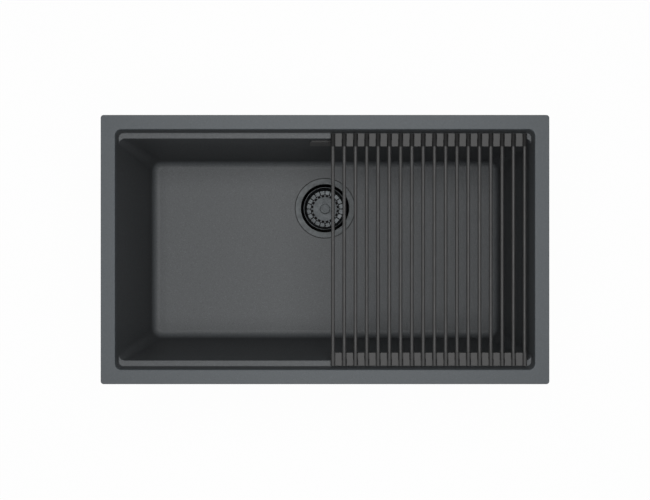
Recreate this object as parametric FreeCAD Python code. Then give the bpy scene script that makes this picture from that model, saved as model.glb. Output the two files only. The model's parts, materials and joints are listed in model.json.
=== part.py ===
import FreeCAD, Part
import math
import os

from FreeCAD import Placement, Rotation, Vector

# Granite kitchen sink with a basket strainer, an overflow and a rolling drainer mat.
# Lengths are in millimetres. The origin is the middle of the bowl opening on the rim's
# top face, X runs along the long side, Y towards the back and Z up.

# Rim and opening of the bowl
RIM_LENGTH = 750.0
RIM_DEPTH = 450.0
RIM_WIDTH = 24.0
RIM_THICK = 10.0
RIM_CORNER_R = 5.0
RIM_EDGE_R = 1.5
OPENING_CORNER_R = 10.0
OPENING_EDGE_R = 2.0

# Ledge along the front and the back, which carries the mat
LEDGE_DROP = 18.0
LEDGE_WIDTH = 11.4
LEDGE_WALL_DRAFT_DEG = 12.0
LEDGE_ROOT_R = 1.5
LEDGE_NOSE_R = 1.5
LEDGE_CORNER_R = 9.0
NOSE_STEPS = 4

# Bowl below the ledge
BOWL_DEPTH = 200.0
WALL_DRAFT_DEG = 7.0
END_WALL_DRAFT_DEG = 7.7
WALL_THICK = 9.0
FLOOR_THICK = 10.0
BOWL_CORNER_R = 10.0
FLOOR_CORNER_R = 20.0
FLOOR_FILLET_R = 15.0

# Drain opening in the floor
DRAIN_PLACE_SHARE = 0.4726
DRAIN_HOLE_GAP = 1.5
DRAIN_BOSS_DROP = 4.0
DRAIN_BOSS_MARGIN = 9.0

# Strainer cup
FLANGE_D = 111.2
FLANGE_THICK = 1.8
FLANGE_GAP = 1.6
FLANGE_SEAL_THICK = 2.0
CUP_MOUTH_D = 91.4
CUP_LIP = 1.5
CUP_WALL = 1.5
CUP_TAPER_DEG = 3.0
CUP_HUB_D = 15.0
CUP_HUB_THICK = 3.0
CUP_WINDOW_D = 37.0
CUP_SPOKE = 4.0
CUP_SPOKE_COUNT = 4

# Strainer basket
BASKET_DROP = 5.0
BASKET_DEPTH = 25.0
BASKET_RIM_D = 81.0
BASKET_RIM_WIDTH = 1.6
BASKET_RIM_THICK = 1.8
BASKET_RIM_ROUND_R = 0.7
BASKET_SHEET = 1.2
BASKET_SHOULDER_D = 69.0
BASKET_SHOULDER_SHARE = 0.95
BASKET_FLOOR_D = 53.0
DISC_D = 45.2
SLOT_COUNT = 20
SLOT_WIDTH = 2.0
SLOT_EYE = 5.2

# Basket knob, stem, seal and ring
KNOB_D = 18.6
KNOB_HEIGHT = 9.0
KNOB_WAIST_D = 12.0
KNOB_WAIST_HEIGHT = 3.0
KNOB_EDGE_R = 0.8
STEM_D = 5.0
STEM_COLLAR_D = 13.0
STEM_COLLAR_THICK = 2.0
STEM_REACH = 14.0
STEM_THREAD = 5.0
STEM_FIT = 0.1
RING_THICK = 1.2
BASKET_SEAL_D = 44.6
BASKET_SEAL_THICK = 3.5
SEAL_GAP = 0.3

# Clamp screw and its brass insert
SCREW_HEAD_D = 12.0
SCREW_SHANK_D = 8.0
SCREW_CONE = 2.0
SCREW_REACH = 18.0
SCREW_TIP = 2.0
SCREW_FIT = 0.05
INSERT_WALL = 2.5
INSERT_LENGTH = 12.0

# Waste housing below the bowl
HOUSING_SEAL_THICK = 2.0
HOUSING_SEAL_WIDTH = 4.2
HOUSING_FLANGE_D = 124.0
HOUSING_FLANGE_THICK = 4.0
HOUSING_GAP = 1.0
HOUSING_WALL = 3.0
CHAMBER_DROP = 22.0
CHAMBER_CONE = 12.0
HUB_WALL = 3.0
HUB_GAP = 0.5
RIB_THICK = 3.0
RIB_COUNT = 2
OUTLET_D = 47.8
OUTLET_WALL = 3.9
OUTLET_LENGTH = 24.0

# Overflow pieces on the back wall
COVER_LENGTH = 52.0
COVER_HEIGHT = 28.0
COVER_THICK = 1.0
COVER_GAP = 1.0
COVER_CORNER_R = 3.0
COVER_EDGE_R = 0.6
COVER_BELOW_LEDGE = 13.0
COVER_TAB_LENGTH = 6.0
COVER_TAB_THICK = 1.2
COVER_TAB_REACH = 6.0
COVER_TAB_PLACE_SHARE = 0.15
FRAME_THICK = 1.0
FRAME_MARGIN = 3.0
FRAME_WALL = 1.4
FRAME_LUG_THICK = 3.0
FRAME_LUG_SINK = 2.7
WALL_HOLE_LENGTH = 44.0
WALL_HOLE_HEIGHT = 12.0
WALL_HOLE_CORNER_R = 3.0
WALL_HOLE_DROP = 2.0
WALL_SCREW_D = 4.0
WALL_SCREW_HEAD_D = 7.0
WALL_SCREW_HEAD = 2.4
WALL_SCREW_GRIP = 10.0
WALL_SCREW_PLACE_SHARE = 0.37
WALL_SEAL_THICK = 2.5
WALL_FLANGE_MARGIN = 6.0
WALL_FLANGE_THICK = 3.5
BOX_DEPTH = 21.0
BOX_WALL = 2.5

# Overflow pipe with its union nuts and washers
SPIGOT_D = 18.0
SPIGOT_BORE = 12.0
SPIGOT_LENGTH = 14.0
INLET_DROP = 10.0
PIPE_D = 15.0
PIPE_WALL = 1.5
PIPE_COLLAR = 3.0
PIPE_BEND_R = 30.0
PIPE_WASHER = 2.5
NUT_D = 27.0
NUT_GRIP = 9.0
NUT_CAP = 3.0
NUT_SIDES = 8
NUT_FIT = 0.1

# Threaded inserts under the rim
CLIP_INSERT_D = 9.0
CLIP_BORE_D = 5.0
CLIP_INSERT_DEPTH = 7.0
CLIP_SIDE_SHARE = 0.693

# Drainer mat
ROD_COUNT = 18
ROD_D = 6.0
ROD_PITCH = 19.0
ROD_INSET = 0.6
MAT_END_GAP = 8.4
MAT_SIDE_GAP = 1.6
MAT_LIFT = 0.3
STRIP_LENGTH = 22.0
EYE_WALL = 0.8
EYE_FIT = 0.02
PIVOT_FIT = 0.1
EYE_GAP = 0.3
BLOCK_THICK = 5.0
BLOCK_EDGE_R = 0.8
NECK_THICK = 4.0

# Amount by which a cutting tool runs past the face it cuts
CUT_OVERRUN = 1.0
# Distance within which an edge counts as lying on a level
LEVEL_TOLERANCE = 0.001

X_AXIS = Vector(1, 0, 0)
Y_AXIS = Vector(0, 1, 0)
Z_AXIS = Vector(0, 0, 1)
ORIGIN = Vector(0, 0, 0)

# Values worked out from the sizes above
DRAFT = math.tan(math.radians(WALL_DRAFT_DEG))
END_DRAFT = math.tan(math.radians(END_WALL_DRAFT_DEG))
LEDGE_WALL_DRAFT = math.tan(math.radians(LEDGE_WALL_DRAFT_DEG))
OPENING_LENGTH = RIM_LENGTH - 2 * RIM_WIDTH
OPENING_DEPTH = RIM_DEPTH - 2 * RIM_WIDTH
FLOOR_Z = -BOWL_DEPTH
UNDERSIDE_Z = FLOOR_Z - FLOOR_THICK
BOSS_Z = UNDERSIDE_Z - DRAIN_BOSS_DROP
FLOOR_HALF_DEPTH = OPENING_DEPTH / 2 - LEDGE_WIDTH - BOWL_DEPTH * DRAFT
DRAIN_Y = DRAIN_PLACE_SHARE * FLOOR_HALF_DEPTH
DRAIN = Vector(0, DRAIN_Y, 0)
RECESS_R = FLANGE_D / 2 + FLANGE_GAP
DRAIN_HOLE_R = CUP_MOUTH_D / 2 + DRAIN_HOLE_GAP
BASKET_TOP_Z = FLOOR_Z - BASKET_DROP
DISC_Z = BASKET_TOP_Z - BASKET_DEPTH
DISC_UNDER_Z = DISC_Z - BASKET_SHEET
SEAT_Z = DISC_UNDER_Z - BASKET_SEAL_THICK
HUB_UNDER_Z = SEAT_Z - CUP_HUB_THICK
SCREW_END_Z = HUB_UNDER_Z - SCREW_REACH
STEM_BORE_R = STEM_D / 2 + STEM_FIT
CHAMBER_Z = SEAT_Z - CHAMBER_DROP
CHAMBER_R = CUP_MOUTH_D / 2 + HOUSING_GAP
INLET_Z = SEAT_Z - INLET_DROP
INLET_END_Y = DRAIN_Y + CHAMBER_R + HOUSING_WALL + SPIGOT_LENGTH
SPIGOT_R = SPIGOT_D / 2
PIPE_BORE_R = PIPE_D / 2 - PIPE_WALL
COVER_Z = -LEDGE_DROP - COVER_BELOW_LEDGE - COVER_HEIGHT / 2
WALL_HOLE_Z = COVER_Z - WALL_HOLE_DROP
WALL_FLANGE_START = WALL_THICK + WALL_SEAL_THICK
BOX_START = WALL_FLANGE_START + WALL_FLANGE_THICK
BOX_MIDDLE = BOX_START + BOX_DEPTH / 2
WALL_SCREW_X = WALL_SCREW_PLACE_SHARE * WALL_HOLE_LENGTH
LUG_END_X = WALL_SCREW_X - WALL_SCREW_HEAD_D / 2 - FRAME_WALL
EYE_R = ROD_D / 2 + EYE_WALL
ROD_Z = -LEDGE_DROP + MAT_LIFT + EYE_R
LEDGE_HALF_LENGTH = OPENING_LENGTH / 2 - LEDGE_DROP * END_DRAFT
LEDGE_HALF_DEPTH = OPENING_DEPTH / 2 - LEDGE_DROP * LEDGE_WALL_DRAFT
MAT_HALF = LEDGE_HALF_DEPTH - MAT_SIDE_GAP
FIRST_ROD_X = LEDGE_HALF_LENGTH - MAT_END_GAP - EYE_R


def rounded_outline(length, depth, corner_r, height):
    """Closed outline on one level, centred on Z, with round corners."""
    x = length / 2 - corner_r
    y = depth / 2 - corner_r
    arcs = []
    for turn, centre_x, centre_y in ((0, x, y), (90, -x, y), (180, -x, -y), (270, x, -y)):
        centre = Vector(centre_x, centre_y, height)
        arcs.append(Part.makeCircle(corner_r, centre, Z_AXIS, turn, turn + 90))
    edges = []
    for place, arc in enumerate(arcs):
        following = arcs[(place + 1) % len(arcs)]
        edges.append(arc)
        edges.append(Part.makeLine(arc.Vertexes[-1].Point, following.Vertexes[0].Point))
    return Part.Wire(edges)


def stacked_block(sections):
    """Solid through round-cornered outlines (length, depth, corner radius, height)."""
    outlines = [rounded_outline(*section) for section in sections]
    return Part.makeLoft(outlines, True, True)


def edges_on_level(shape, height):
    """Edges of a shape that lie flat on one level."""
    found = []
    for edge in shape.Edges:
        box = edge.BoundBox
        if max(abs(box.ZMin - height), abs(box.ZMax - height)) < LEVEL_TOLERANCE:
            found.append(edge)
    return found


def upright(radius, bottom, top, centre=ORIGIN):
    """Upright cylinder between two levels."""
    return Part.makeCylinder(radius, top - bottom, centre + Vector(0, 0, bottom), Z_AXIS)


def upright_ring(outer_r, inner_r, bottom, top, centre=ORIGIN):
    """Upright ring between two levels."""
    hole = upright(inner_r, bottom - CUT_OVERRUN, top + CUT_OVERRUN, centre)
    return upright(outer_r, bottom, top, centre).cut(hole)


def along_y(radius, start, end, x, z):
    """Cylinder that runs along Y between two places."""
    return Part.makeCylinder(radius, end - start, Vector(x, start, z), Y_AXIS)


def turned(points, centre=ORIGIN):
    """Solid turned about an upright axis from (radius, height) points."""
    corners = [Vector(radius, 0, height) for radius, height in points]
    face = Part.Face(Part.makePolygon(corners + corners[:1]))
    solid = face.revolve(ORIGIN, Z_AXIS, 360)
    solid.translate(centre)
    return solid


def centred_box(length, start, end, bottom, top, middle_x=0.0):
    """Box of a length about a middle, between two places in Y and two levels."""
    corner = Vector(middle_x - length / 2, start, bottom)
    return Part.makeBox(length, end - start, top - bottom, corner)


def wall_plate(length, height, corner_r, start, end, middle=0.0):
    """Round-cornered plate in the wall's own frame, thick along its Y."""
    face = Part.Face(rounded_outline(length, height, corner_r, 0))
    plate = face.extrude(Vector(0, 0, end - start))
    plate.rotate(ORIGIN, X_AXIS, -90)
    plate.translate(Vector(0, start, middle))
    return plate


def on_back_wall(shape, level):
    """Carry a shape from the wall's own frame to the inside of the back wall."""
    wall_y = OPENING_DEPTH / 2 - LEDGE_WIDTH + level * DRAFT
    turn = Rotation(X_AXIS, -WALL_DRAFT_DEG)
    moved = shape.copy()
    moved.Placement = Placement(Vector(0, wall_y, level), turn).multiply(shape.Placement)
    return moved


def wall_point(outwards, level):
    """Place that lies a distance outwards from the inside of the back wall."""
    wall_y = OPENING_DEPTH / 2 - LEDGE_WIDTH + level * DRAFT
    turn = Rotation(X_AXIS, -WALL_DRAFT_DEG)
    return Vector(0, wall_y, level) + turn.multVec(Vector(0, outwards, 0))


def bowl_section(depth_down, grow, corner_r, ledge=LEDGE_WIDTH):
    """Outline of the bowl at a depth below the rim, grown sideways."""
    length = OPENING_LENGTH - 2 * depth_down * END_DRAFT + 2 * grow
    depth = OPENING_DEPTH - 2 * ledge - 2 * depth_down * DRAFT + 2 * grow
    return length, depth, corner_r, -depth_down


def bowl_hollow():
    """Space inside the bowl: the recess over the ledge and the bowl below it."""
    recess = stacked_block([
        bowl_section(0, 0, OPENING_CORNER_R, 0),
        (2 * LEDGE_HALF_LENGTH, 2 * LEDGE_HALF_DEPTH, LEDGE_CORNER_R, -LEDGE_DROP),
    ])
    recess = recess.makeFillet(LEDGE_ROOT_R, edges_on_level(recess, -LEDGE_DROP))
    nose_ledge = LEDGE_WIDTH - LEDGE_NOSE_R
    sections = [bowl_section(LEDGE_DROP / 2, 0, BOWL_CORNER_R, nose_ledge)]
    for step in range(NOSE_STEPS + 1):
        turn = math.radians(90 * (1 - step / NOSE_STEPS))
        down = LEDGE_DROP + LEDGE_NOSE_R * (1 - math.sin(turn))
        ledge = LEDGE_WIDTH - LEDGE_NOSE_R * (1 - math.cos(turn))
        sections.append(bowl_section(down, 0, BOWL_CORNER_R, ledge))
    sections.append(bowl_section(BOWL_DEPTH, 0, FLOOR_CORNER_R))
    lower = stacked_block(sections)
    lower = lower.makeFillet(FLOOR_FILLET_R, edges_on_level(lower, FLOOR_Z))
    return recess.fuse(lower)


def clip_places():
    """Middles of the clip inserts on the rim's underside."""
    outer_x = OPENING_LENGTH / 2 + WALL_THICK
    outer_y = OPENING_DEPTH / 2 + WALL_THICK
    side_x = (outer_x + RIM_LENGTH / 2) / 2
    side_y = (outer_y + RIM_DEPTH / 2) / 2
    along_x = CLIP_SIDE_SHARE * RIM_LENGTH / 2
    places = [Vector(sx * along_x, sy * side_y, 0) for sx in (1, -1) for sy in (1, -1)]
    return places + [Vector(side_x, 0, 0), Vector(-side_x, 0, 0)]


def make_sink_bowl():
    """Granite bowl with its rim, ledges, drain recess, overflow hole and insert holes."""
    rim = stacked_block([
        (RIM_LENGTH, RIM_DEPTH, RIM_CORNER_R, 0),
        (RIM_LENGTH, RIM_DEPTH, RIM_CORNER_R, -RIM_THICK),
    ])
    rim = rim.makeFillet(RIM_EDGE_R, edges_on_level(rim, 0))
    upper = stacked_block([
        bowl_section(RIM_THICK / 2, WALL_THICK, OPENING_CORNER_R + WALL_THICK, 0),
        bowl_section(LEDGE_DROP + WALL_THICK, WALL_THICK, OPENING_CORNER_R + WALL_THICK, 0),
    ])
    lower = stacked_block([
        bowl_section(LEDGE_DROP, WALL_THICK, BOWL_CORNER_R + WALL_THICK),
        bowl_section(-UNDERSIDE_Z, WALL_THICK, FLOOR_CORNER_R + WALL_THICK),
    ])
    lower = lower.makeFillet(FLOOR_FILLET_R + WALL_THICK, edges_on_level(lower, UNDERSIDE_Z))
    boss = upright(RECESS_R + DRAIN_BOSS_MARGIN, BOSS_Z, FLOOR_Z - FLOOR_THICK / 2, DRAIN)
    bowl = rim.fuse([upper, lower, boss]).removeSplitter()
    bowl = bowl.cut(bowl_hollow())
    reach_x = OPENING_LENGTH / 2 + RIM_WIDTH / 2
    reach_y = OPENING_DEPTH / 2 + RIM_WIDTH / 2
    inner_edges = []
    for edge in edges_on_level(bowl, 0):
        box = edge.BoundBox
        if max(box.XMax, -box.XMin) < reach_x and max(box.YMax, -box.YMin) < reach_y:
            inner_edges.append(edge)
    bowl = bowl.makeFillet(OPENING_EDGE_R, inner_edges)
    recess_z = FLOOR_Z - FLANGE_THICK - FLANGE_SEAL_THICK
    tools = [
        upright(RECESS_R, recess_z, FLOOR_Z + CUT_OVERRUN, DRAIN),
        upright(DRAIN_HOLE_R, BOSS_Z - CUT_OVERRUN, FLOOR_Z + CUT_OVERRUN, DRAIN),
    ]
    hole = wall_plate(
        WALL_HOLE_LENGTH, WALL_HOLE_HEIGHT, WALL_HOLE_CORNER_R,
        -CUT_OVERRUN, WALL_THICK + CUT_OVERRUN,
    )
    tools.append(on_back_wall(hole, WALL_HOLE_Z))
    for place in clip_places():
        top = CLIP_INSERT_DEPTH - RIM_THICK
        tools.append(upright(CLIP_INSERT_D / 2, -RIM_THICK - CUT_OVERRUN, top, place))
    return bowl.cut(tools)


def make_clip_inserts():
    """Brass threaded inserts under the rim."""
    rings = []
    for place in clip_places():
        top = CLIP_INSERT_DEPTH - RIM_THICK
        rings.append(upright_ring(CLIP_INSERT_D / 2, CLIP_BORE_D / 2, -RIM_THICK, top, place))
    return Part.makeCompound(rings)


def make_strainer_cup():
    """Metal cup with the flange seen in the floor and a spoked opening at its bottom."""
    taper = math.tan(math.radians(CUP_TAPER_DEG))
    mouth = CUP_MOUTH_D / 2
    throat = mouth - CUP_LIP
    bottom = throat - (FLOOR_Z - CUP_LIP - SEAT_Z) * taper
    flange_z = FLOOR_Z - FLANGE_THICK
    cup = turned([
        (mouth, FLOOR_Z),
        (FLANGE_D / 2, FLOOR_Z),
        (FLANGE_D / 2, flange_z),
        (throat + CUP_WALL, flange_z),
        (bottom + CUP_WALL, SEAT_Z - CUP_WALL),
        (0, SEAT_Z - CUP_WALL),
        (0, SEAT_Z),
        (bottom, SEAT_Z),
        (throat, FLOOR_Z - CUP_LIP),
    ], DRAIN)
    window = upright(CUP_WINDOW_D / 2, SEAT_Z - CUP_WALL - CUT_OVERRUN, SEAT_Z + CUT_OVERRUN, DRAIN)
    for number in range(CUP_SPOKE_COUNT):
        spoke = centred_box(
            CUP_SPOKE, 0, CUP_WINDOW_D,
            SEAT_Z - CUP_WALL - 2 * CUT_OVERRUN, SEAT_Z + 2 * CUT_OVERRUN,
        )
        spoke.rotate(ORIGIN, Z_AXIS, 360 * number / CUP_SPOKE_COUNT)
        spoke.translate(DRAIN)
        window = window.cut(spoke)
    hub = upright(CUP_HUB_D / 2, HUB_UNDER_Z, SEAT_Z, DRAIN)
    cup = cup.cut(window).fuse(hub).removeSplitter()
    head = turned([
        (0, SEAT_Z + CUT_OVERRUN),
        (SCREW_HEAD_D / 2 + SCREW_FIT, SEAT_Z + CUT_OVERRUN),
        (SCREW_HEAD_D / 2 + SCREW_FIT, SEAT_Z),
        (SCREW_SHANK_D / 2 + SCREW_FIT, SEAT_Z - SCREW_CONE),
        (SCREW_SHANK_D / 2 + SCREW_FIT, HUB_UNDER_Z - CUT_OVERRUN),
        (0, HUB_UNDER_Z - CUT_OVERRUN),
    ], DRAIN)
    return cup.cut(head)


def make_flange_seal():
    """Flat ring between the flange and the floor recess."""
    top = FLOOR_Z - FLANGE_THICK
    return upright_ring(RECESS_R, DRAIN_HOLE_R, top - FLANGE_SEAL_THICK, top, DRAIN)


def make_clamp_screw():
    """Hollow screw that pulls the cup and the housing together."""
    screw = turned([
        (0, SEAT_Z),
        (SCREW_HEAD_D / 2, SEAT_Z),
        (SCREW_SHANK_D / 2, SEAT_Z - SCREW_CONE),
        (SCREW_SHANK_D / 2, SCREW_END_Z),
        (0, SCREW_END_Z),
    ], DRAIN)
    return screw.cut(upright(STEM_BORE_R, SCREW_END_Z + SCREW_TIP, SEAT_Z + CUT_OVERRUN, DRAIN))


def make_screw_insert():
    """Brass insert in the housing hub that takes the clamp screw."""
    bore = SCREW_SHANK_D / 2 + SCREW_FIT
    return upright_ring(bore + INSERT_WALL, bore, SCREW_END_Z, SCREW_END_Z + INSERT_LENGTH, DRAIN)


def make_basket():
    """Sheet basket with a rolled rim and a ring of slots."""
    rim_r = BASKET_RIM_D / 2
    wall_r = rim_r - BASKET_RIM_WIDTH
    shoulder_r = BASKET_SHOULDER_D / 2
    floor_r = BASKET_FLOOR_D / 2
    shoulder_z = BASKET_TOP_Z - BASKET_SHOULDER_SHARE * BASKET_DEPTH
    rim_z = BASKET_TOP_Z - BASKET_RIM_THICK
    basket = turned([
        (wall_r, BASKET_TOP_Z),
        (rim_r, BASKET_TOP_Z),
        (rim_r, rim_z),
        (wall_r + BASKET_SHEET, rim_z),
        (shoulder_r + BASKET_SHEET, shoulder_z - BASKET_SHEET / 2),
        (floor_r + BASKET_SHEET / 2, DISC_UNDER_Z),
        (0, DISC_UNDER_Z),
        (0, DISC_Z),
        (floor_r, DISC_Z),
        (shoulder_r, shoulder_z),
    ])
    basket = basket.makeFillet(BASKET_RIM_ROUND_R, edges_on_level(basket, BASKET_TOP_Z))
    bottom = DISC_UNDER_Z - CUT_OVERRUN
    slot = centred_box(SLOT_WIDTH, floor_r, shoulder_r, bottom, shoulder_z)
    eye = centred_box(SLOT_EYE, DISC_D / 2, floor_r, bottom, shoulder_z)
    tools = []
    for number in range(SLOT_COUNT):
        for cutter, turn in ((slot, number), (eye, number + 1 / 2)):
            tool = cutter.copy()
            tool.rotate(ORIGIN, Z_AXIS, 360 * turn / SLOT_COUNT)
            tools.append(tool)
    tools.append(upright(STEM_BORE_R, bottom, DISC_Z + CUT_OVERRUN))
    basket = basket.cut(tools)
    basket.translate(DRAIN)
    return basket


def make_basket_knob():
    """Low round knob on the basket disc."""
    top = DISC_Z + KNOB_HEIGHT
    waist = DISC_Z + KNOB_WAIST_HEIGHT
    knob = upright(KNOB_D / 2, waist, top)
    knob = knob.makeFillet(KNOB_EDGE_R, edges_on_level(knob, top))
    knob = knob.fuse(upright(KNOB_WAIST_D / 2, DISC_Z, waist)).removeSplitter()
    knob = knob.cut(upright(STEM_BORE_R, DISC_Z - CUT_OVERRUN, DISC_Z + STEM_THREAD))
    knob.translate(DRAIN)
    return knob


def ring_level():
    """Height of the middle of the ring on the stem."""
    return SEAT_Z - STEM_REACH / 2


def make_basket_stem():
    """Stem that hangs from the knob and runs in the hollow screw."""
    collar_z = DISC_UNDER_Z - STEM_COLLAR_THICK
    stem = upright(STEM_D / 2, SEAT_Z - STEM_REACH, DISC_Z + STEM_THREAD)
    stem = stem.fuse(upright(STEM_COLLAR_D / 2, collar_z, DISC_UNDER_Z)).removeSplitter()
    bottom = ring_level() - RING_THICK / 2
    groove = upright_ring(
        STEM_D / 2 + CUT_OVERRUN, STEM_D / 2 - RING_THICK, bottom, bottom + RING_THICK,
    )
    stem = stem.cut(groove)
    stem.translate(DRAIN)
    return stem


def make_stem_ring():
    """Rubber ring in the stem groove."""
    bottom = ring_level() - RING_THICK / 2
    return upright_ring(STEM_D / 2, STEM_D / 2 - RING_THICK, bottom, bottom + RING_THICK, DRAIN)


def make_basket_seal():
    """Rubber ring under the basket that closes the cup."""
    inner = STEM_COLLAR_D / 2 + SEAL_GAP
    return upright_ring(BASKET_SEAL_D / 2, inner, SEAT_Z, DISC_UNDER_Z, DRAIN)


def make_housing_seal():
    """Ring round the drain hole between the housing flange and the bowl's underside."""
    outer = DRAIN_HOLE_R + HOUSING_SEAL_WIDTH
    return upright_ring(outer, DRAIN_HOLE_R, BOSS_Z - HOUSING_SEAL_THICK, BOSS_Z, DRAIN)


def make_waste_housing():
    """Moulded housing with a flange, a chamber, a hub on ribs, an outlet and an inlet."""
    top = BOSS_Z - HOUSING_SEAL_THICK
    flange_z = top - HOUSING_FLANGE_THICK
    outlet_r = OUTLET_D / 2
    bore_r = outlet_r - OUTLET_WALL
    cone_z = CHAMBER_Z - CHAMBER_CONE
    end_z = cone_z - OUTLET_LENGTH
    housing = turned([
        (CHAMBER_R, top),
        (HOUSING_FLANGE_D / 2, top),
        (HOUSING_FLANGE_D / 2, flange_z),
        (CHAMBER_R + HOUSING_WALL, flange_z),
        (CHAMBER_R + HOUSING_WALL, CHAMBER_Z - HOUSING_WALL),
        (outlet_r, cone_z - HOUSING_WALL),
        (outlet_r, end_z),
        (bore_r, end_z),
        (bore_r, cone_z),
        (CHAMBER_R, CHAMBER_Z),
    ])
    insert_r = SCREW_SHANK_D / 2 + SCREW_FIT + INSERT_WALL
    hub_r = insert_r + HUB_WALL
    hub_top = HUB_UNDER_Z - HUB_GAP
    hub_bottom = SCREW_END_Z - HUB_WALL
    pieces = [upright(hub_r, hub_bottom, hub_top)]
    for number in range(RIB_COUNT):
        rib = centred_box(RIB_THICK, 0, CHAMBER_R + HOUSING_WALL / 2, CHAMBER_Z, SCREW_END_Z + INSERT_LENGTH)
        rib.rotate(ORIGIN, Z_AXIS, 360 * (number + 1 / 2) / RIB_COUNT)
        pieces.append(rib)
    inlet_end = INLET_END_Y - DRAIN_Y
    pieces.append(along_y(SPIGOT_R, CHAMBER_R + HOUSING_WALL / 2, inlet_end, 0, INLET_Z))
    housing = housing.fuse(pieces).removeSplitter()
    housing = housing.cut([
        upright(insert_r, SCREW_END_Z, hub_top + CUT_OVERRUN),
        along_y(SPIGOT_BORE / 2, CHAMBER_R - HOUSING_WALL, inlet_end + CUT_OVERRUN, 0, INLET_Z),
    ])
    housing.translate(DRAIN)
    return housing


def make_overflow_cover():
    """Flat cover on four snap tabs, closed along its top by a lip that meets the back wall."""
    back = -FRAME_THICK - COVER_GAP
    front = back - COVER_THICK
    top = COVER_HEIGHT / 2
    cover = wall_plate(COVER_LENGTH, COVER_HEIGHT, COVER_CORNER_R, front, back)
    front_edges = [edge for edge in cover.Edges if edge.BoundBox.YMax < front + LEVEL_TOLERANCE]
    cover = cover.makeFillet(COVER_EDGE_R, front_edges)
    hole_middle = -WALL_HOLE_DROP
    free = WALL_HOLE_HEIGHT / 2 - FRAME_WALL - EYE_GAP
    lip_length = COVER_LENGTH - 2 * COVER_CORNER_R
    pieces = [centred_box(lip_length, back - COVER_THICK / 2, 0, top - COVER_THICK, top)]
    for side in (1, -1):
        tab_x = side * COVER_TAB_PLACE_SHARE * WALL_HOLE_LENGTH
        for level in (hole_middle + free - COVER_TAB_THICK, hole_middle - free):
            pieces.append(centred_box(
                COVER_TAB_LENGTH, back - COVER_THICK / 2, COVER_TAB_REACH,
                level, level + COVER_TAB_THICK, tab_x,
            ))
    return on_back_wall(cover.fuse(pieces).removeSplitter(), COVER_Z)


def make_overflow_frame():
    """Frame that lines the wall hole and carries the cover and the screws."""
    length = WALL_HOLE_LENGTH - 2 * EYE_GAP
    height = WALL_HOLE_HEIGHT - 2 * EYE_GAP
    face = wall_plate(
        WALL_HOLE_LENGTH + 2 * FRAME_MARGIN, WALL_HOLE_HEIGHT + 2 * FRAME_MARGIN,
        WALL_HOLE_CORNER_R + FRAME_MARGIN, -FRAME_THICK, 0,
    )
    sleeve = wall_plate(length, height, WALL_HOLE_CORNER_R, -FRAME_THICK / 2, WALL_THICK)
    way = wall_plate(
        length - 2 * FRAME_WALL, WALL_HOLE_HEIGHT - 2 * FRAME_WALL,
        WALL_HOLE_CORNER_R - FRAME_WALL, -FRAME_THICK - CUT_OVERRUN, WALL_THICK + CUT_OVERRUN,
    )
    frame = face.fuse(sleeve).removeSplitter().cut(way)
    lugs = []
    holes = []
    lug_length = length / 2 - FRAME_WALL / 2 - LUG_END_X
    for side in (1, -1):
        middle = side * (LUG_END_X + lug_length / 2)
        half = height / 2 - FRAME_WALL / 2
        lugs.append(centred_box(
            lug_length, FRAME_LUG_SINK, FRAME_LUG_SINK + FRAME_LUG_THICK, -half, half, middle,
        ))
        holes.append(along_y(
            WALL_SCREW_D / 2 + PIVOT_FIT, FRAME_LUG_SINK - CUT_OVERRUN,
            FRAME_LUG_SINK + FRAME_LUG_THICK + CUT_OVERRUN, side * WALL_SCREW_X, 0,
        ))
    frame = frame.fuse(lugs).removeSplitter().cut(holes)
    return on_back_wall(frame, WALL_HOLE_Z)


def make_overflow_screws():
    """Two screws from the frame lugs into the housing behind the wall."""
    screws = []
    for side in (1, -1):
        x = side * WALL_SCREW_X
        end = WALL_FLANGE_START + WALL_SCREW_GRIP
        shank = along_y(WALL_SCREW_D / 2, FRAME_LUG_SINK - WALL_SCREW_HEAD / 2, end, x, 0)
        head = along_y(WALL_SCREW_HEAD_D / 2, FRAME_LUG_SINK - WALL_SCREW_HEAD, FRAME_LUG_SINK, x, 0)
        screws.append(on_back_wall(shank.fuse(head).removeSplitter(), WALL_HOLE_Z))
    return Part.makeCompound(screws)


def make_overflow_seal():
    """Flat ring between the wall's outside and the overflow housing."""
    seal = wall_plate(
        WALL_HOLE_LENGTH + 2 * WALL_FLANGE_MARGIN, WALL_HOLE_HEIGHT + 2 * WALL_FLANGE_MARGIN,
        WALL_HOLE_CORNER_R + WALL_FLANGE_MARGIN, WALL_THICK, WALL_FLANGE_START,
    )
    hole = wall_plate(
        WALL_HOLE_LENGTH, WALL_HOLE_HEIGHT, WALL_HOLE_CORNER_R,
        WALL_THICK - CUT_OVERRUN, WALL_FLANGE_START + CUT_OVERRUN,
    )
    return on_back_wall(seal.cut(hole), WALL_HOLE_Z)


def box_spigot_end():
    """Height of the end of the overflow housing's spigot."""
    middle = wall_point(BOX_MIDDLE, WALL_HOLE_Z)
    return middle.z - WALL_HOLE_HEIGHT / 2 - BOX_WALL - SPIGOT_LENGTH


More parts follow.
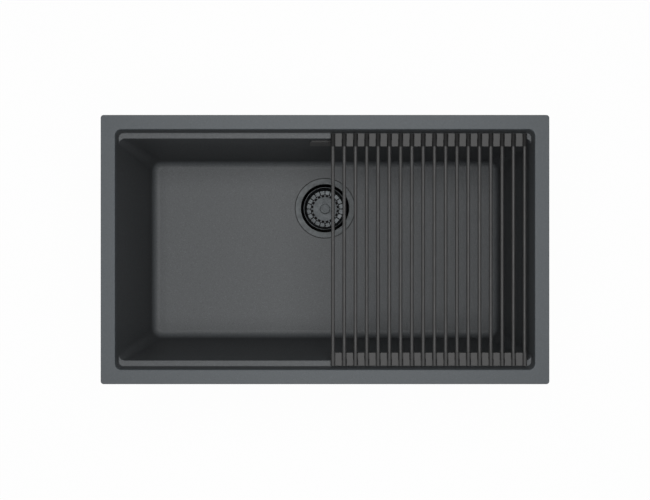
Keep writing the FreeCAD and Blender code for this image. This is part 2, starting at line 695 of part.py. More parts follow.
def make_overflow_housing():
    """Moulded box behind the back wall with a spigot that points down."""
    end = BOX_START + BOX_DEPTH
    flange = wall_plate(
        WALL_HOLE_LENGTH + 2 * WALL_FLANGE_MARGIN, WALL_HOLE_HEIGHT + 2 * WALL_FLANGE_MARGIN,
        WALL_HOLE_CORNER_R + WALL_FLANGE_MARGIN, WALL_FLANGE_START, BOX_START,
    )
    box = wall_plate(
        WALL_HOLE_LENGTH + 2 * BOX_WALL, WALL_HOLE_HEIGHT + 2 * BOX_WALL,
        WALL_HOLE_CORNER_R + BOX_WALL, BOX_START - WALL_FLANGE_THICK / 2, end,
    )
    housing = on_back_wall(flange.fuse(box).removeSplitter(), WALL_HOLE_Z)
    middle = wall_point(BOX_MIDDLE, WALL_HOLE_Z)
    centre = Vector(0, middle.y, 0)
    housing = housing.fuse(upright(SPIGOT_R, box_spigot_end(), middle.z, centre)).removeSplitter()
    way = wall_plate(
        2 * LUG_END_X, WALL_HOLE_HEIGHT, WALL_HOLE_CORNER_R,
        WALL_FLANGE_START - CUT_OVERRUN, end - BOX_WALL,
    )
    tools = [on_back_wall(way, WALL_HOLE_Z)]
    tools.append(upright(SPIGOT_BORE / 2, box_spigot_end() - CUT_OVERRUN, middle.z, centre))
    for side in (1, -1):
        hole = along_y(
            WALL_SCREW_D / 2 + EYE_FIT, WALL_FLANGE_START - CUT_OVERRUN,
            WALL_FLANGE_START + WALL_SCREW_GRIP + CUT_OVERRUN, side * WALL_SCREW_X, 0,
        )
        tools.append(on_back_wall(hole, WALL_HOLE_Z))
    return housing.cut(tools)


def pipe_ends():
    """Middles of the pipe's two ends, each one washer away from its spigot."""
    upper = Vector(0, wall_point(BOX_MIDDLE, WALL_HOLE_Z).y, box_spigot_end() - PIPE_WASHER)
    lower = Vector(0, INLET_END_Y + PIPE_WASHER, INLET_Z)
    return upper, lower


def pipe_run(radius, overrun):
    """Solid rod along the pipe's path: down, round a bend and forward."""
    upper, lower = pipe_ends()
    bend_y = upper.y - PIPE_BEND_R
    bend_z = lower.z + PIPE_BEND_R
    drop = upright(radius, bend_z, upper.z + overrun, Vector(0, upper.y, 0))
    reach = along_y(radius, lower.y - overrun, bend_y, 0, lower.z)
    disc = Part.Face(Part.Wire(Part.makeCircle(radius, Vector(0, bend_y, lower.z), Y_AXIS)))
    bend = disc.revolve(Vector(0, bend_y, bend_z), X_AXIS, 90)
    return drop.fuse([bend, reach]).removeSplitter()


def make_overflow_pipe():
    """Rigid pipe from the overflow housing to the waste housing, with a collar at each end."""
    upper, lower = pipe_ends()
    collars = [
        upright(SPIGOT_R, upper.z - PIPE_COLLAR, upper.z, Vector(0, upper.y, 0)),
        along_y(SPIGOT_R, lower.y, lower.y + PIPE_COLLAR, 0, lower.z),
    ]
    pipe = pipe_run(PIPE_D / 2, 0).fuse(collars).removeSplitter()
    return pipe.cut(pipe_run(PIPE_BORE_R, CUT_OVERRUN))


def make_pipe_washers():
    """Washers between the pipe's collars and the spigots."""
    upper, lower = pipe_ends()
    top = upright_ring(SPIGOT_R, PIPE_BORE_R, upper.z, upper.z + PIPE_WASHER, Vector(0, upper.y, 0))
    outer = along_y(SPIGOT_R, INLET_END_Y, lower.y, 0, lower.z)
    inner = along_y(PIPE_BORE_R, INLET_END_Y - CUT_OVERRUN, lower.y + CUT_OVERRUN, 0, lower.z)
    return Part.makeCompound([top, outer.cut(inner)])


def union_nut():
    """Nut that stands on the origin with its cap down."""
    corners = []
    for number in range(NUT_SIDES + 1):
        turn = 2 * math.pi * number / NUT_SIDES
        corners.append(Vector(NUT_D / 2 * math.cos(turn), NUT_D / 2 * math.sin(turn), -NUT_CAP))
    height = NUT_CAP + PIPE_COLLAR + PIPE_WASHER + NUT_GRIP
    nut = Part.Face(Part.makePolygon(corners)).extrude(Vector(0, 0, height))
    return nut.cut([
        upright(PIPE_D / 2 + NUT_FIT, -NUT_CAP - CUT_OVERRUN, CUT_OVERRUN),
        upright(SPIGOT_R + NUT_FIT, 0, height),
    ])


def make_pipe_nuts():
    """Union nuts that pull the pipe's collars against the spigots."""
    upper, lower = pipe_ends()
    top = union_nut()
    top.translate(upper - Vector(0, 0, PIPE_COLLAR))
    side = union_nut()
    side.rotate(ORIGIN, X_AXIS, 90)
    side.translate(lower + Vector(0, PIPE_COLLAR, 0))
    return Part.makeCompound([top, side])


def rod_x(number):
    """Place of a rod along X, counted from the right."""
    return FIRST_ROD_X - (number - 1) * ROD_PITCH


def make_mat_rod(number):
    """One round bar of the mat."""
    end = MAT_HALF - ROD_INSET
    return along_y(ROD_D / 2, -end, end, rod_x(number), ROD_Z)


def make_link_half(number):
    """Link at the back end of a rod: a fixed eye, a spacer block and a pivot eye."""
    outer = MAT_HALF
    inner = MAT_HALF - STRIP_LENGTH
    split = MAT_HALF - STRIP_LENGTH / 2
    fixed_start = split + EYE_GAP / 2
    pivot_end = split - EYE_GAP / 2
    last = number == ROD_COUNT - 1
    if number == 1:
        fixed_start = inner
    pivot_top = outer if last else pivot_end
    x = rod_x(number)
    next_x = rod_x(number + 1)
    clear = EYE_R + EYE_GAP
    block = Part.makeBox(
        ROD_PITCH - 2 * clear, STRIP_LENGTH, BLOCK_THICK,
        Vector(next_x + clear, inner, ROD_Z - BLOCK_THICK / 2),
    )
    block = block.makeFillet(BLOCK_EDGE_R, block.Edges)
    reach = clear + ROD_PITCH / 4
    low = ROD_Z - NECK_THICK / 2
    fixed_neck = Part.makeBox(
        reach, outer - BLOCK_EDGE_R - fixed_start - BLOCK_EDGE_R, NECK_THICK,
        Vector(x - reach, fixed_start + BLOCK_EDGE_R, low),
    )
    pivot_neck = Part.makeBox(
        reach, pivot_top - BLOCK_EDGE_R - inner - BLOCK_EDGE_R, NECK_THICK,
        Vector(next_x, inner + BLOCK_EDGE_R, low),
    )
    fixed_eye = along_y(EYE_R, fixed_start, outer, x, ROD_Z)
    pivot_eye = along_y(EYE_R, inner, pivot_top, next_x, ROD_Z)
    pivot_fit = EYE_FIT if last else PIVOT_FIT
    link = block.fuse([fixed_neck, pivot_neck, fixed_eye, pivot_eye]).removeSplitter()
    start = inner - CUT_OVERRUN
    end = outer + CUT_OVERRUN
    return link.cut([
        along_y(ROD_D / 2 + EYE_FIT, start, end, x, ROD_Z),
        along_y(ROD_D / 2 + pivot_fit, start, end, next_x, ROD_Z),
    ])


def make_mat_link(number):
    """Front and back links between one rod and the next."""
    back = make_link_half(number)
    front = back.mirror(ORIGIN, Y_AXIS)
    return Part.makeCompound([back, front])


def write(name, shape):
    """Write one node to its own file."""
    shape.exportStep("parts/" + name + ".step")


os.makedirs("parts", exist_ok=True)
write("sink_bowl", make_sink_bowl())
write("clip_inserts", make_clip_inserts())
write("strainer_cup", make_strainer_cup())
write("flange_seal", make_flange_seal())
write("clamp_screw", make_clamp_screw())
write("screw_insert", make_screw_insert())
write("basket", make_basket())
write("basket_knob", make_basket_knob())
write("basket_stem", make_basket_stem())
write("stem_ring", make_stem_ring())
write("basket_seal", make_basket_seal())
write("housing_seal", make_housing_seal())
write("waste_housing", make_waste_housing())
write("overflow_cover", make_overflow_cover())
write("overflow_frame", make_overflow_frame())
write("overflow_screws", make_overflow_screws())
write("overflow_seal", make_overflow_seal())
write("overflow_housing", make_overflow_housing())
write("overflow_pipe", make_overflow_pipe())
write("pipe_washers", make_pipe_washers())
write("pipe_nuts", make_pipe_nuts())
for rod_number in range(1, ROD_COUNT + 1):
    write("mat_rod_%02d" % rod_number, make_mat_rod(rod_number))
for link_number in range(1, ROD_COUNT):
    write("mat_link_%02d" % link_number, make_mat_link(link_number))
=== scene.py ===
import json

import bpy
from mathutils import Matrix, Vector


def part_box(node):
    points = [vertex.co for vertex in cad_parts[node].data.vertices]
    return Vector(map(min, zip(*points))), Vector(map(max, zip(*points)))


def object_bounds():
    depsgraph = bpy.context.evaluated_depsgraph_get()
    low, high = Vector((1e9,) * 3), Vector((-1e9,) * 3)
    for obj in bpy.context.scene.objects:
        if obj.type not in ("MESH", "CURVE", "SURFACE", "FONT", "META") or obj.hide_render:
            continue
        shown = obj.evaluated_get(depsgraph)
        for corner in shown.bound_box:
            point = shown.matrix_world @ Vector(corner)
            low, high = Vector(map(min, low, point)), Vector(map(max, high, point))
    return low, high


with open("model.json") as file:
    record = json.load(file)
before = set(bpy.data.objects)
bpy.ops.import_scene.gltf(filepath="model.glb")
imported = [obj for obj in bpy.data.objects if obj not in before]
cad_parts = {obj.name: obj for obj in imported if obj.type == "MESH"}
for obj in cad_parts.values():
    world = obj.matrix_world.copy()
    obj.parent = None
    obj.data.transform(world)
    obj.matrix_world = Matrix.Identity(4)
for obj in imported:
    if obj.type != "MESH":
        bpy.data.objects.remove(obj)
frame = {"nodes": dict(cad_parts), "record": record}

cad_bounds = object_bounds()


def middle(node, axis):
    """Middle of a node's box along one axis."""
    low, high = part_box(node)
    return (low[axis] + high[axis]) / 2


# Places that the finishes follow. Lengths are in metres, colours in linear light and textures in
# cells a metre. A share says how far one tone covers another, and a bump is a depth and a strength.
DRAIN_Y = middle("strainer_cup", 1)
FLOOR_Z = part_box("strainer_cup")[1][2]
FIRST_ROD_X = middle("mat_rod_01", 0)
ROD_PITCH = FIRST_ROD_X - middle("mat_rod_02", 0)

# Where most noise lies, and Pointiness from flats to worn edges
NOISE_RANGE = (0.3, 0.7)
EDGE_RANGE = (0.52, 0.6)

LEVEL_AXES = (1.0, 1.0, 0.0)
WHITE = (1.0, 1.0, 1.0, 1.0)


class Look:
    """A procedural material and the small helpers that wire it."""

    def __init__(self, name):
        self.material = bpy.data.materials.new(name)
        self.material.use_nodes = True
        self.tree = self.material.node_tree
        self.shader = self.tree.nodes["Principled BSDF"]
        self.place = self.tree.nodes.new("ShaderNodeTexCoord").outputs["Object"]

    def node(self, kind, **settings):
        """Add a node and set its properties."""
        made = self.tree.nodes.new(kind)
        for key, value in settings.items():
            setattr(made, key, value)
        return made

    def put(self, socket, value):
        """Link an output, or write a constant on the socket itself."""
        if isinstance(value, bpy.types.NodeSocket):
            self.tree.links.new(value, socket)
        else:
            socket.default_value = value

    def set(self, **values):
        """Set the shader's inputs by name."""
        for key, value in values.items():
            self.put(self.shader.inputs[key.replace("_", " ")], value)

    def math(self, operation, first, second=None, clamp=False):
        """One step of arithmetic on numbers."""
        made = self.node("ShaderNodeMath", operation=operation, use_clamp=clamp)
        self.put(made.inputs[0], first)
        if second is not None:
            self.put(made.inputs[1], second)
        return made.outputs[0]

    def vector(self, operation, first, second=None):
        """One step of arithmetic on vectors, returned as the node."""
        made = self.node("ShaderNodeVectorMath", operation=operation)
        self.put(made.inputs[0], first)
        if second is not None:
            self.put(made.inputs[1], second)
        return made

    def noise(self, scale, detail=2.0, roughness=0.5, place=None):
        """Smooth noise between nought and one."""
        made = self.node("ShaderNodeTexNoise")
        self.put(made.inputs["Vector"], self.place if place is None else place)
        made.inputs["Scale"].default_value = scale
        made.inputs["Detail"].default_value = detail
        made.inputs["Roughness"].default_value = roughness
        return made.outputs["Fac"]

    def grains(self, scale):
        """A random grey for each small cell."""
        made = self.node("ShaderNodeTexVoronoi")
        self.put(made.inputs["Vector"], self.place)
        made.inputs["Scale"].default_value = scale
        parts = self.node("ShaderNodeSeparateColor")
        self.put(parts.inputs[0], made.outputs["Color"])
        return parts.outputs[0]

    def spread(self, value, low, high, to_low=0.0, to_high=1.0):
        """Map a value from one range to another, held at both ends."""
        made = self.node("ShaderNodeMapRange")
        self.put(made.inputs["Value"], value)
        made.inputs["From Min"].default_value = low
        made.inputs["From Max"].default_value = high
        made.inputs["To Min"].default_value = to_low
        made.inputs["To Max"].default_value = to_high
        return made.outputs["Result"]

    def stretch(self, noise, to_low=0.0, to_high=1.0):
        """Map noise from where most of it lies to a whole range."""
        return self.spread(noise, *NOISE_RANGE, to_low, to_high)

    def mix(self, factor, first, second):
        """Blend two colours."""
        made = self.node("ShaderNodeMix", data_type="RGBA")
        self.put(made.inputs["Factor"], factor)
        self.put(made.inputs["A"], first)
        self.put(made.inputs["B"], second)
        return made.outputs["Result"]

    def greys(self, factor, levels):
        """Blend two plain greys."""
        return self.mix(factor, grey(levels[0]), grey(levels[1]))

    def bump(self, height, depth, strength):
        """Raise the surface a little by a height map."""
        made = self.node("ShaderNodeBump")
        self.put(made.inputs["Height"], height)
        made.inputs["Distance"].default_value = depth
        made.inputs["Strength"].default_value = strength
        self.put(self.shader.inputs["Normal"], made.outputs["Normal"])

    def edges(self, low, high):
        """Nought on flats, one on outer edges, for wear."""
        made = self.node("ShaderNodeNewGeometry")
        return self.spread(made.outputs["Pointiness"], low, high)

    def worn(self, share):
        """How far the outer edges of a small piece show wear."""
        return self.math("MULTIPLY", self.edges(*EDGE_RANGE), share)

    def facing(self):
        """The surface's own outward direction."""
        return self.node("ShaderNodeNewGeometry").outputs["Normal"]

    def axes(self, place=None):
        """The three numbers of a place or direction."""
        made = self.node("ShaderNodeSeparateXYZ")
        self.put(made.inputs[0], self.place if place is None else place)
        return made.outputs

    def scaled(self, scale):
        """Place scaled by a different amount along each axis, for brushed grain."""
        return self.vector("MULTIPLY", self.place, scale).outputs[0]

    def level_place(self, place):
        """A place with its height taken out."""
        return self.vector("MULTIPLY", place, LEVEL_AXES).outputs[0]

    def round_drain(self):
        """Distance from the drain's upright axis."""
        moved = self.vector("SUBTRACT", self.place, (0.0, DRAIN_Y, 0.0)).outputs[0]
        return self.vector("LENGTH", self.level_place(moved)).outputs["Value"]


def grey(level):
    """A plain grey in linear light."""
    return (level, level, level, 1.0)


def toned(colour, tone):
    """A colour made lighter or darker, never over white."""
    return tuple(min(1.0, tone * value) for value in colour) + (1.0,)


FINE_GRAINS = 1500.0
COARSE_GRAINS = 800.0
GRAIN_DARK = (0.043, 0.0468, 0.0500, 1.0)
GRAIN_LIGHT = (0.067, 0.0730, 0.0778, 1.0)
FLECK = (0.115, 0.122, 0.128, 1.0)
FLECK_GRAINS = (0.93, 0.97)
FLECK_SHARE = 0.35
PIT = (0.022, 0.024, 0.026, 1.0)
PIT_GRAINS = (0.05, 0.02)
PIT_SHARE = 0.5
CLOUD = (0.050, 0.054, 0.058, 1.0)
CLOUD_CELLS = 9.0
CLOUD_SHARE = 0.12
WORN_EDGE = (0.105, 0.112, 0.118, 1.0)
WORN_RANGE = (0.51, 0.56)
WORN_HEIGHTS = (-0.15, -0.05)
WORN_SHARE = 0.25
RIM_TINT_AND_PAINTED_LIGHT = (0.083, 0.1015, 0.1165, 1.0)
RIM_HEIGHTS = (-0.010, -0.001)
RIM_SHARE = 0.35
PAINTED_WALL_SHADE = (0.0115, 0.012, 0.0125, 1.0)
WALL_SLOPES = (0.75, 0.25)
WALL_HEIGHTS = (-0.03, -0.19)
WALL_SHARES = (0.20, 0.46)
RAW_OUTWARD = (0.05, 0.25)
RAW_DOWNWARD = (-0.2, -0.5)
RAW_HEIGHTS = (-0.006, -0.011)
RAW_DUST = (0.110, 0.113, 0.115, 1.0)
RAW_DUST_CELLS = 35.0
RAW_DUST_RANGE = (0.35, 0.65)
RAW_DUST_SHARES = (0.15, 0.40)
RAW_LUMP_CELLS = 420.0
RAW_LUMP_HEIGHT = 3.0
RAW_EXTRA_ROUGH = 0.22
POLISH_CELLS = 700.0
GRANITE_ROUGH = (0.50, 0.64)
GRANITE_GLOSS = 0.5
GRANITE_BUMP = (0.00006, 0.5)


def granite():
    """Fine dark granite with painted shade on the inner walls and dust where the moulding is left
    raw.
    """
    look = Look("granite")
    coarse = look.grains(COARSE_GRAINS)
    base = look.mix(look.spread(look.grains(FINE_GRAINS), 0.0, 1.0), GRAIN_DARK, GRAIN_LIGHT)
    base = look.mix(look.spread(coarse, *FLECK_GRAINS, 0.0, FLECK_SHARE), base, FLECK)
    base = look.mix(look.spread(coarse, *PIT_GRAINS, 0.0, PIT_SHARE), base, PIT)
    base = look.mix(look.stretch(look.noise(CLOUD_CELLS, detail=3.0), 0.0, CLOUD_SHARE), base, CLOUD)

    # Edges wear pale, but not at the floor, where long thin facets would show it as streaks
    height = look.axes()["Z"]
    above_floor = look.spread(height, *WORN_HEIGHTS, 0.0, WORN_SHARE)
    base = look.mix(look.math("MULTIPLY", look.edges(*WORN_RANGE), above_floor), base, WORN_EDGE)
    # The rim top is tinted paler and bluer: partly the stone's own tint, partly painted light that
    # sets the rim brighter than the floor.
    base = look.mix(look.spread(height, *RIM_HEIGHTS, 0.0, RIM_SHARE), base, RIM_TINT_AND_PAINTED_LIGHT)

    # Faces below the rim that look away from the middle or downwards are the raw outside
    upward = look.axes(look.facing())["Z"]
    from_middle = look.vector("NORMALIZE", look.level_place(look.place)).outputs[0]
    away = look.vector("DOT_PRODUCT", from_middle, look.facing()).outputs["Value"]
    raw = look.math("MAXIMUM", look.spread(away, *RAW_OUTWARD), look.spread(upward, *RAW_DOWNWARD))
    raw = look.math("MULTIPLY", raw, look.spread(height, *RAW_HEIGHTS))
    # Painted shade: the steep inner walls are painted darker, more so towards the bottom.
    wall = look.math("MULTIPLY", look.spread(upward, *WALL_SLOPES), look.math("SUBTRACT", 1.0, raw))
    shade = look.math("MULTIPLY", wall, look.spread(height, *WALL_HEIGHTS, *WALL_SHARES))
    base = look.mix(shade, base, PAINTED_WALL_SHADE)
    patches = look.noise(RAW_DUST_CELLS, detail=4.0, roughness=0.6)
    dust = look.spread(patches, *RAW_DUST_RANGE, *RAW_DUST_SHARES)
    base = look.mix(look.math("MULTIPLY", raw, dust), base, RAW_DUST)

    rough = look.stretch(look.noise(POLISH_CELLS), *GRANITE_ROUGH)
    rough = look.math("ADD", rough, look.math("MULTIPLY", raw, RAW_EXTRA_ROUGH))
    look.set(Base_Color=base, Roughness=rough, Specular_IOR_Level=GRANITE_GLOSS)
    lumps = look.noise(RAW_LUMP_CELLS, detail=4.0, roughness=0.65)
    lumps = look.math("MULTIPLY", lumps, look.spread(raw, 0.0, 1.0, 0.0, RAW_LUMP_HEIGHT))
    grain = look.noise(FINE_GRAINS, detail=3.0, roughness=0.6)
    look.bump(look.math("ADD", grain, lumps), *GRANITE_BUMP)
    return look.material


RING_CELLS = 2600.0
RING_TONES = (0.82, 1.15)
RING_EDGE_TONE = 1.8
RING_EDGE_SHARE = 0.5
RING_SMEAR_CELLS = 120.0
RING_ROUGH_SPREAD = 0.06
RING_BUMP = (0.00002, 0.4)
ZONE_FADE = 0.0004
PAINTED_SHADE_FADE = 0.003
PAINTED_SHADE_LEVEL = 0.004


def ringed_metal(name, colour, rough, painted_light_zones=(), painted_shade_z=None):
    """Metal with fine turned rings round the drain's axis.

    Zones are (inner radius, outer radius, tone) of painted highlight or shade, and below the given
    height the metal is painted near black as shade.
    """
    look = Look(name)
    radius = look.round_drain()
    rings = look.node("ShaderNodeTexNoise", noise_dimensions="1D")
    look.put(rings.inputs["W"], radius)
    rings.inputs["Scale"].default_value = RING_CELLS
    rings.inputs["Detail"].default_value = 3.0
    lines = rings.outputs["Fac"]
    dark, light = (toned(colour, tone) for tone in RING_TONES)
    base = look.mix(look.stretch(lines), dark, light)
    base = look.mix(look.worn(RING_EDGE_SHARE), base, toned(colour, RING_EDGE_TONE))
    # Each zone scales the colour over a band of radius: painted highlight where the tone is over
    # one, painted shade where under.
    for inner, outer, tone in painted_light_zones:
        past_inner = look.spread(radius, inner, inner + ZONE_FADE)
        before_outer = look.spread(radius, outer, outer + ZONE_FADE, 1.0, 0.0)
        zone = look.vector("SCALE", base)
        zone.inputs["Scale"].default_value = tone
        base = look.mix(look.math("MULTIPLY", past_inner, before_outer), base, zone.outputs[0])
    # Painted shade: below the given height, down inside the cup, the metal is painted near black.
    if painted_shade_z is not None:
        below = look.spread(look.axes()["Z"], painted_shade_z, painted_shade_z - PAINTED_SHADE_FADE)
        base = look.mix(below, base, grey(PAINTED_SHADE_LEVEL))
    smear = look.noise(RING_SMEAR_CELLS, detail=3.0)
    satin = look.stretch(smear, rough - RING_ROUGH_SPREAD, rough + RING_ROUGH_SPREAD)
    look.set(Base_Color=base, Metallic=1.0, Roughness=satin)
    look.bump(lines, *RING_BUMP)
    return look.material


ROD_BRUSH = (2400.0, 30.0, 2400.0)
ROD_GREYS = (0.050, 0.065)
ROD_METALLIC = 0.6
ROD_SMEAR_CELLS = 60.0
ROD_ROUGH = (0.50, 0.60)
ROD_BUMP = (0.00002, 0.3)


def rod_metal():
    """Dark satin metal, brushed along the rods."""
    look = Look("rod_metal")
    lines = look.noise(1.0, detail=3.0, roughness=0.6, place=look.scaled(ROD_BRUSH))
    base = look.greys(look.stretch(lines), ROD_GREYS)
    satin = look.stretch(look.noise(ROD_SMEAR_CELLS), *ROD_ROUGH)
    look.set(Base_Color=base, Metallic=ROD_METALLIC, Roughness=satin)
    look.bump(lines, *ROD_BUMP)
    return look.material


LATHE_LINES = (300.0, 300.0, 4000.0)
LATHE_TONES = (0.85, 1.1)
LATHE_EDGE_TONE = 1.4
LATHE_EDGE_SHARE = 0.4
LATHE_SMEAR_CELLS = 200.0
LATHE_ROUGH = (0.24, 0.38)
LATHE_BUMP = (0.00003, 0.4)


def bright_metal(name, colour):
    """Turned metal with fine level lines and bright edges."""
    look = Look(name)
    lines = look.noise(1.0, place=look.scaled(LATHE_LINES))
    dark, light = (toned(colour, tone) for tone in LATHE_TONES)
    base = look.mix(lines, dark, light)
    base = look.mix(look.worn(LATHE_EDGE_SHARE), base, toned(colour, LATHE_EDGE_TONE))
    satin = look.stretch(look.noise(LATHE_SMEAR_CELLS), *LATHE_ROUGH)
    look.set(Base_Color=base, Metallic=1.0, Roughness=satin)
    look.bump(lines, *LATHE_BUMP)
    return look.material


MOULD_CELLS = 1400.0
MOULD_CLOUD_CELLS = 40.0
MOULD_TONES = (0.88, 1.12)
MOULD_EDGE_TONE = 2.0
MOULD_EDGE_SHARE = 0.35
MOULD_ROUGH_SPREAD = 0.07
MOULD_GLOSS = 0.35
MOULD_BUMP = (0.00005, 0.4)


def moulded(name, level, rough):
    """Moulded plastic or rubber with a faint spark-eroded texture."""
    look = Look(name)
    fine = look.noise(MOULD_CELLS)
    cloud = look.stretch(look.noise(MOULD_CLOUD_CELLS, detail=3.0))
    base = look.greys(cloud, [level * tone for tone in MOULD_TONES])
    base = look.mix(look.worn(MOULD_EDGE_SHARE), base, grey(level * MOULD_EDGE_TONE))
    satin = look.stretch(fine, rough - MOULD_ROUGH_SPREAD, rough + MOULD_ROUGH_SPREAD)
    look.set(Base_Color=base, Roughness=satin, Specular_IOR_Level=MOULD_GLOSS)
    look.bump(fine, *MOULD_BUMP)
    return look.material


COVER_CLOUD_CELLS = 60.0
COVER_GREYS = (0.085, 0.108)
COVER_TOP_PAINTED_SHADE = 0.024
COVER_TOP_SLOPES = (0.2, 0.7)
COVER_ROUGH = (0.52, 0.66)


def cover_plastic():
    """Satin moulding in the sink's own grey, with painted shade on its up-facing upper edge."""
    look = Look("cover_plastic")
    fine = look.noise(MOULD_CELLS)
    base = look.greys(look.stretch(look.noise(COVER_CLOUD_CELLS, detail=3.0)), COVER_GREYS)
    # Painted shade: faces that look up are painted darker.
    painted_shade_top = look.spread(look.axes(look.facing())["Z"], *COVER_TOP_SLOPES)
    base = look.mix(painted_shade_top, base, grey(COVER_TOP_PAINTED_SHADE))
    satin = look.stretch(fine, *COVER_ROUGH)
    look.set(Base_Color=base, Roughness=satin, Specular_IOR_Level=MOULD_GLOSS)
    look.bump(fine, *MOULD_BUMP)
    return look.material


SILICONE_CELLS = 1100.0
BLOCK_GREYS = (0.066, 0.087)
PAINTED_CROWN_HIGHLIGHT_GREYS = (0.055, 0.071)
FRONT_FLANK_PAINTED_LIGHT_GREYS = (0.022, 0.030)
BACK_SLEEVE_GREYS = (0.007, 0.011)
SLEEVE_R = 0.0038
SLEEVE_EDGE = (SLEEVE_R + 0.0003, SLEEVE_R + 0.0001)
CROWN_EDGE = (0.0008, 0.0026)
FRONT_TO_BACK = (-0.02, 0.02)
SILICONE_ROUGH = (0.66, 0.80)
SILICONE_GLOSS = 0.25
SILICONE_BUMP = (0.00008, 0.5)


def mat_silicone():
    """Matte spacer blocks between darker satin sleeves; the front sleeves are painted lighter as
    light, with a painted highlight along the crown.
    """
    look = Look("mat_silicone")
    x = look.axes()["X"]
    steps = look.math("DIVIDE", look.math("SUBTRACT", x, FIRST_ROD_X), ROD_PITCH)
    nearest = look.math("SUBTRACT", look.math("FRACT", look.math("ADD", steps, 0.5)), 0.5)
    from_rod = look.math("MULTIPLY", look.math("ABSOLUTE", nearest), ROD_PITCH)
    fine = look.noise(SILICONE_CELLS, detail=3.0, roughness=0.6)
    mottle = look.stretch(fine)
    # Painted light: the front sleeves are painted lighter, brightest along the crown as a painted
    # highlight; the back sleeves keep the plain dark sleeve colour.
    painted_crown_highlight = look.greys(mottle, PAINTED_CROWN_HIGHLIGHT_GREYS)
    painted_front_flank = look.greys(mottle, FRONT_FLANK_PAINTED_LIGHT_GREYS)
    painted_lit_front_sleeve = look.mix(look.spread(from_rod, *CROWN_EDGE), painted_crown_highlight, painted_front_flank)
    back_sleeve = look.greys(mottle, BACK_SLEEVE_GREYS)
    sleeve = look.mix(look.spread(look.axes()["Y"], *FRONT_TO_BACK), painted_lit_front_sleeve, back_sleeve)
    block = look.greys(mottle, BLOCK_GREYS)
    base = look.mix(look.spread(from_rod, *SLEEVE_EDGE), block, sleeve)
    satin = look.stretch(fine, *SILICONE_ROUGH)
    look.set(Base_Color=base, Roughness=satin, Specular_IOR_Level=SILICONE_GLOSS)
    look.bump(fine, *SILICONE_BUMP)
    return look.material


PAINT_LEVEL = 0.85
PAINT_ROUGH = 0.9
PAINT_GLOW_SHARE = 0.97


def backdrop_paint():
    """Pale paint that takes the shadow, and shows near white to the camera and in metal."""
    look = Look("floor_paint")
    look.set(Base_Color=grey(PAINT_LEVEL), Roughness=PAINT_ROUGH)
    paths = look.node("ShaderNodeLightPath").outputs
    seen = look.math("ADD", paths["Is Camera Ray"], paths["Is Glossy Ray"], clamp=True)
    seen = look.math("ADD", seen, paths["Is Transmission Ray"], clamp=True)
    glow = look.node("ShaderNodeEmission")
    glow.inputs["Strength"].default_value = 1.0
    blend = look.node("ShaderNodeMixShader")
    look.put(blend.inputs[0], look.math("MULTIPLY", seen, PAINT_GLOW_SHARE))
    look.put(blend.inputs[1], look.shader.outputs[0])
    look.put(blend.inputs[2], glow.outputs[0])
    look.put(look.tree.nodes["Material Output"].inputs["Surface"], blend.outputs[0])
    return look.material


# Finishes by material slot, with two pieces that have their own. The basket's zones are painted
# light:
# painted shade on the ribs' lower ends, painted highlight on the ribs and the rolled rim, as inner
# radius, outer radius and tone.
CUP_COLOUR = (0.0302, 0.0322, 0.0332)
# The cup is painted near black from a little below the floor down, as shade inside it.
CUP_PAINTED_SHADE_DEPTH = 0.002
BASKET_COLOUR = (0.0320, 0.0345, 0.0360)
BASKET_PAINTED_LIGHT_ZONES = ((0.0262, 0.0276, 0.5), (0.0280, 0.0345, 2.0), (0.0383, 0.0420, 1.25))
KNOB_COLOUR = (0.0375, 0.0405, 0.0422)
STEM_COLOUR = (0.50, 0.50, 0.51)
BRASS_COLOUR = (0.68, 0.50, 0.22)
cup_painted_shade_z = FLOOR_Z - CUP_PAINTED_SHADE_DEPTH
looks = {
    "granite": granite(),
    "strainer_metal": ringed_metal("strainer_metal", CUP_COLOUR, rough=0.42, painted_shade_z=cup_painted_shade_z),
    "basket_metal": ringed_metal("basket_metal", BASKET_COLOUR, rough=0.40, painted_light_zones=BASKET_PAINTED_LIGHT_ZONES),
    "knob_metal": ringed_metal("knob_metal", KNOB_COLOUR, rough=0.42),
    "stem_metal": bright_metal("stem_metal", STEM_COLOUR),
    "brass": bright_metal("brass", BRASS_COLOUR),
    "seal_rubber": moulded("seal_rubber", level=0.010, rough=0.75),
    "waste_plastic": moulded("waste_plastic", level=0.055, rough=0.48),
    "cover_plastic": cover_plastic(),
    "rod_metal": rod_metal(),
    "mat_silicone": mat_silicone(),
}
own_looks = {
    "overflow_pipe": moulded("pipe_plastic", level=0.17, rough=0.42),
    "pipe_nuts": moulded("nut_plastic", level=0.026, rough=0.45),
}
slot_of = {part["node"]: part["material_slot"] for part in frame["record"]["subparts"]}
for name, piece in frame["nodes"].items():
    piece.data.materials.clear()
    piece.data.materials.append(own_looks.get(name, looks[slot_of[name]]))

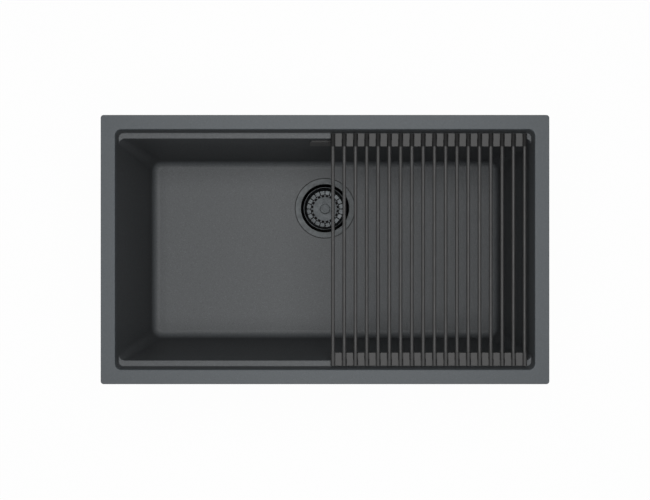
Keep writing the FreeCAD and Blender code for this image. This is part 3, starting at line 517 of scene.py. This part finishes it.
# Pale floor under the sink: it takes the shadow, and shows near white to the camera and in metal
FLOOR_SIZE = 30.0
FLOOR_CLEARANCE = 0.0005
paint = backdrop_paint()
floor_z = cad_bounds[0][2] - FLOOR_CLEARANCE
bpy.ops.mesh.primitive_plane_add(size=FLOOR_SIZE, location=(0.0, 0.0, floor_z))
floor = bpy.context.object
floor.name = "floor"
floor.data.materials.append(paint)

# Pale wall all round on the floor, so that low views end in the same paint
BACKDROP_R = 14.0
BACKDROP_HEIGHT = 8.0
BACKDROP_SIDES = 96
bpy.ops.mesh.primitive_cylinder_add(
    vertices=BACKDROP_SIDES,
    radius=BACKDROP_R,
    depth=BACKDROP_HEIGHT,
    end_fill_type="NOTHING",
    location=(0.0, 0.0, floor_z + BACKDROP_HEIGHT / 2),
)
backdrop = bpy.context.object
backdrop.name = "backdrop"
backdrop.data.materials.append(paint)

# One broad soft light overhead, and a little light from all round
LIGHT_SIZE = 1.7
LIGHT_WATTS = 38.0
LIGHT_PLACE = (0.0, 0.05, 1.7)
WORLD_STRENGTH = 0.04
lamp = bpy.data.lights.new("softbox", "AREA")
lamp.shape = "SQUARE"
lamp.size = LIGHT_SIZE
lamp.energy = LIGHT_WATTS
lamp_object = bpy.data.objects.new("softbox", lamp)
lamp_object.location = LIGHT_PLACE
lamp_object.visible_camera = False
bpy.context.collection.objects.link(lamp_object)
world = bpy.data.worlds.new("studio")
world.use_nodes = True
background = world.node_tree.nodes["Background"]
background.inputs["Color"].default_value = WHITE
background.inputs["Strength"].default_value = WORLD_STRENGTH
bpy.context.scene.world = world

# Camera straight above, at the photo's distance
CAMERA_PLACE = (0.0, -0.00075, 1.539)
CAMERA_SENSOR = 36.0
CAMERA_LENS = 51.03
CAMERA_REACH = 100.0
camera = bpy.data.cameras.new("camera")
camera.sensor_width = CAMERA_SENSOR
camera.lens = CAMERA_LENS
camera.clip_end = CAMERA_REACH
camera_object = bpy.data.objects.new("camera", camera)
camera_object.location = CAMERA_PLACE
bpy.context.collection.objects.link(camera_object)
bpy.context.scene.camera = camera_object
bpy.context.scene.view_settings.view_transform = "Standard"
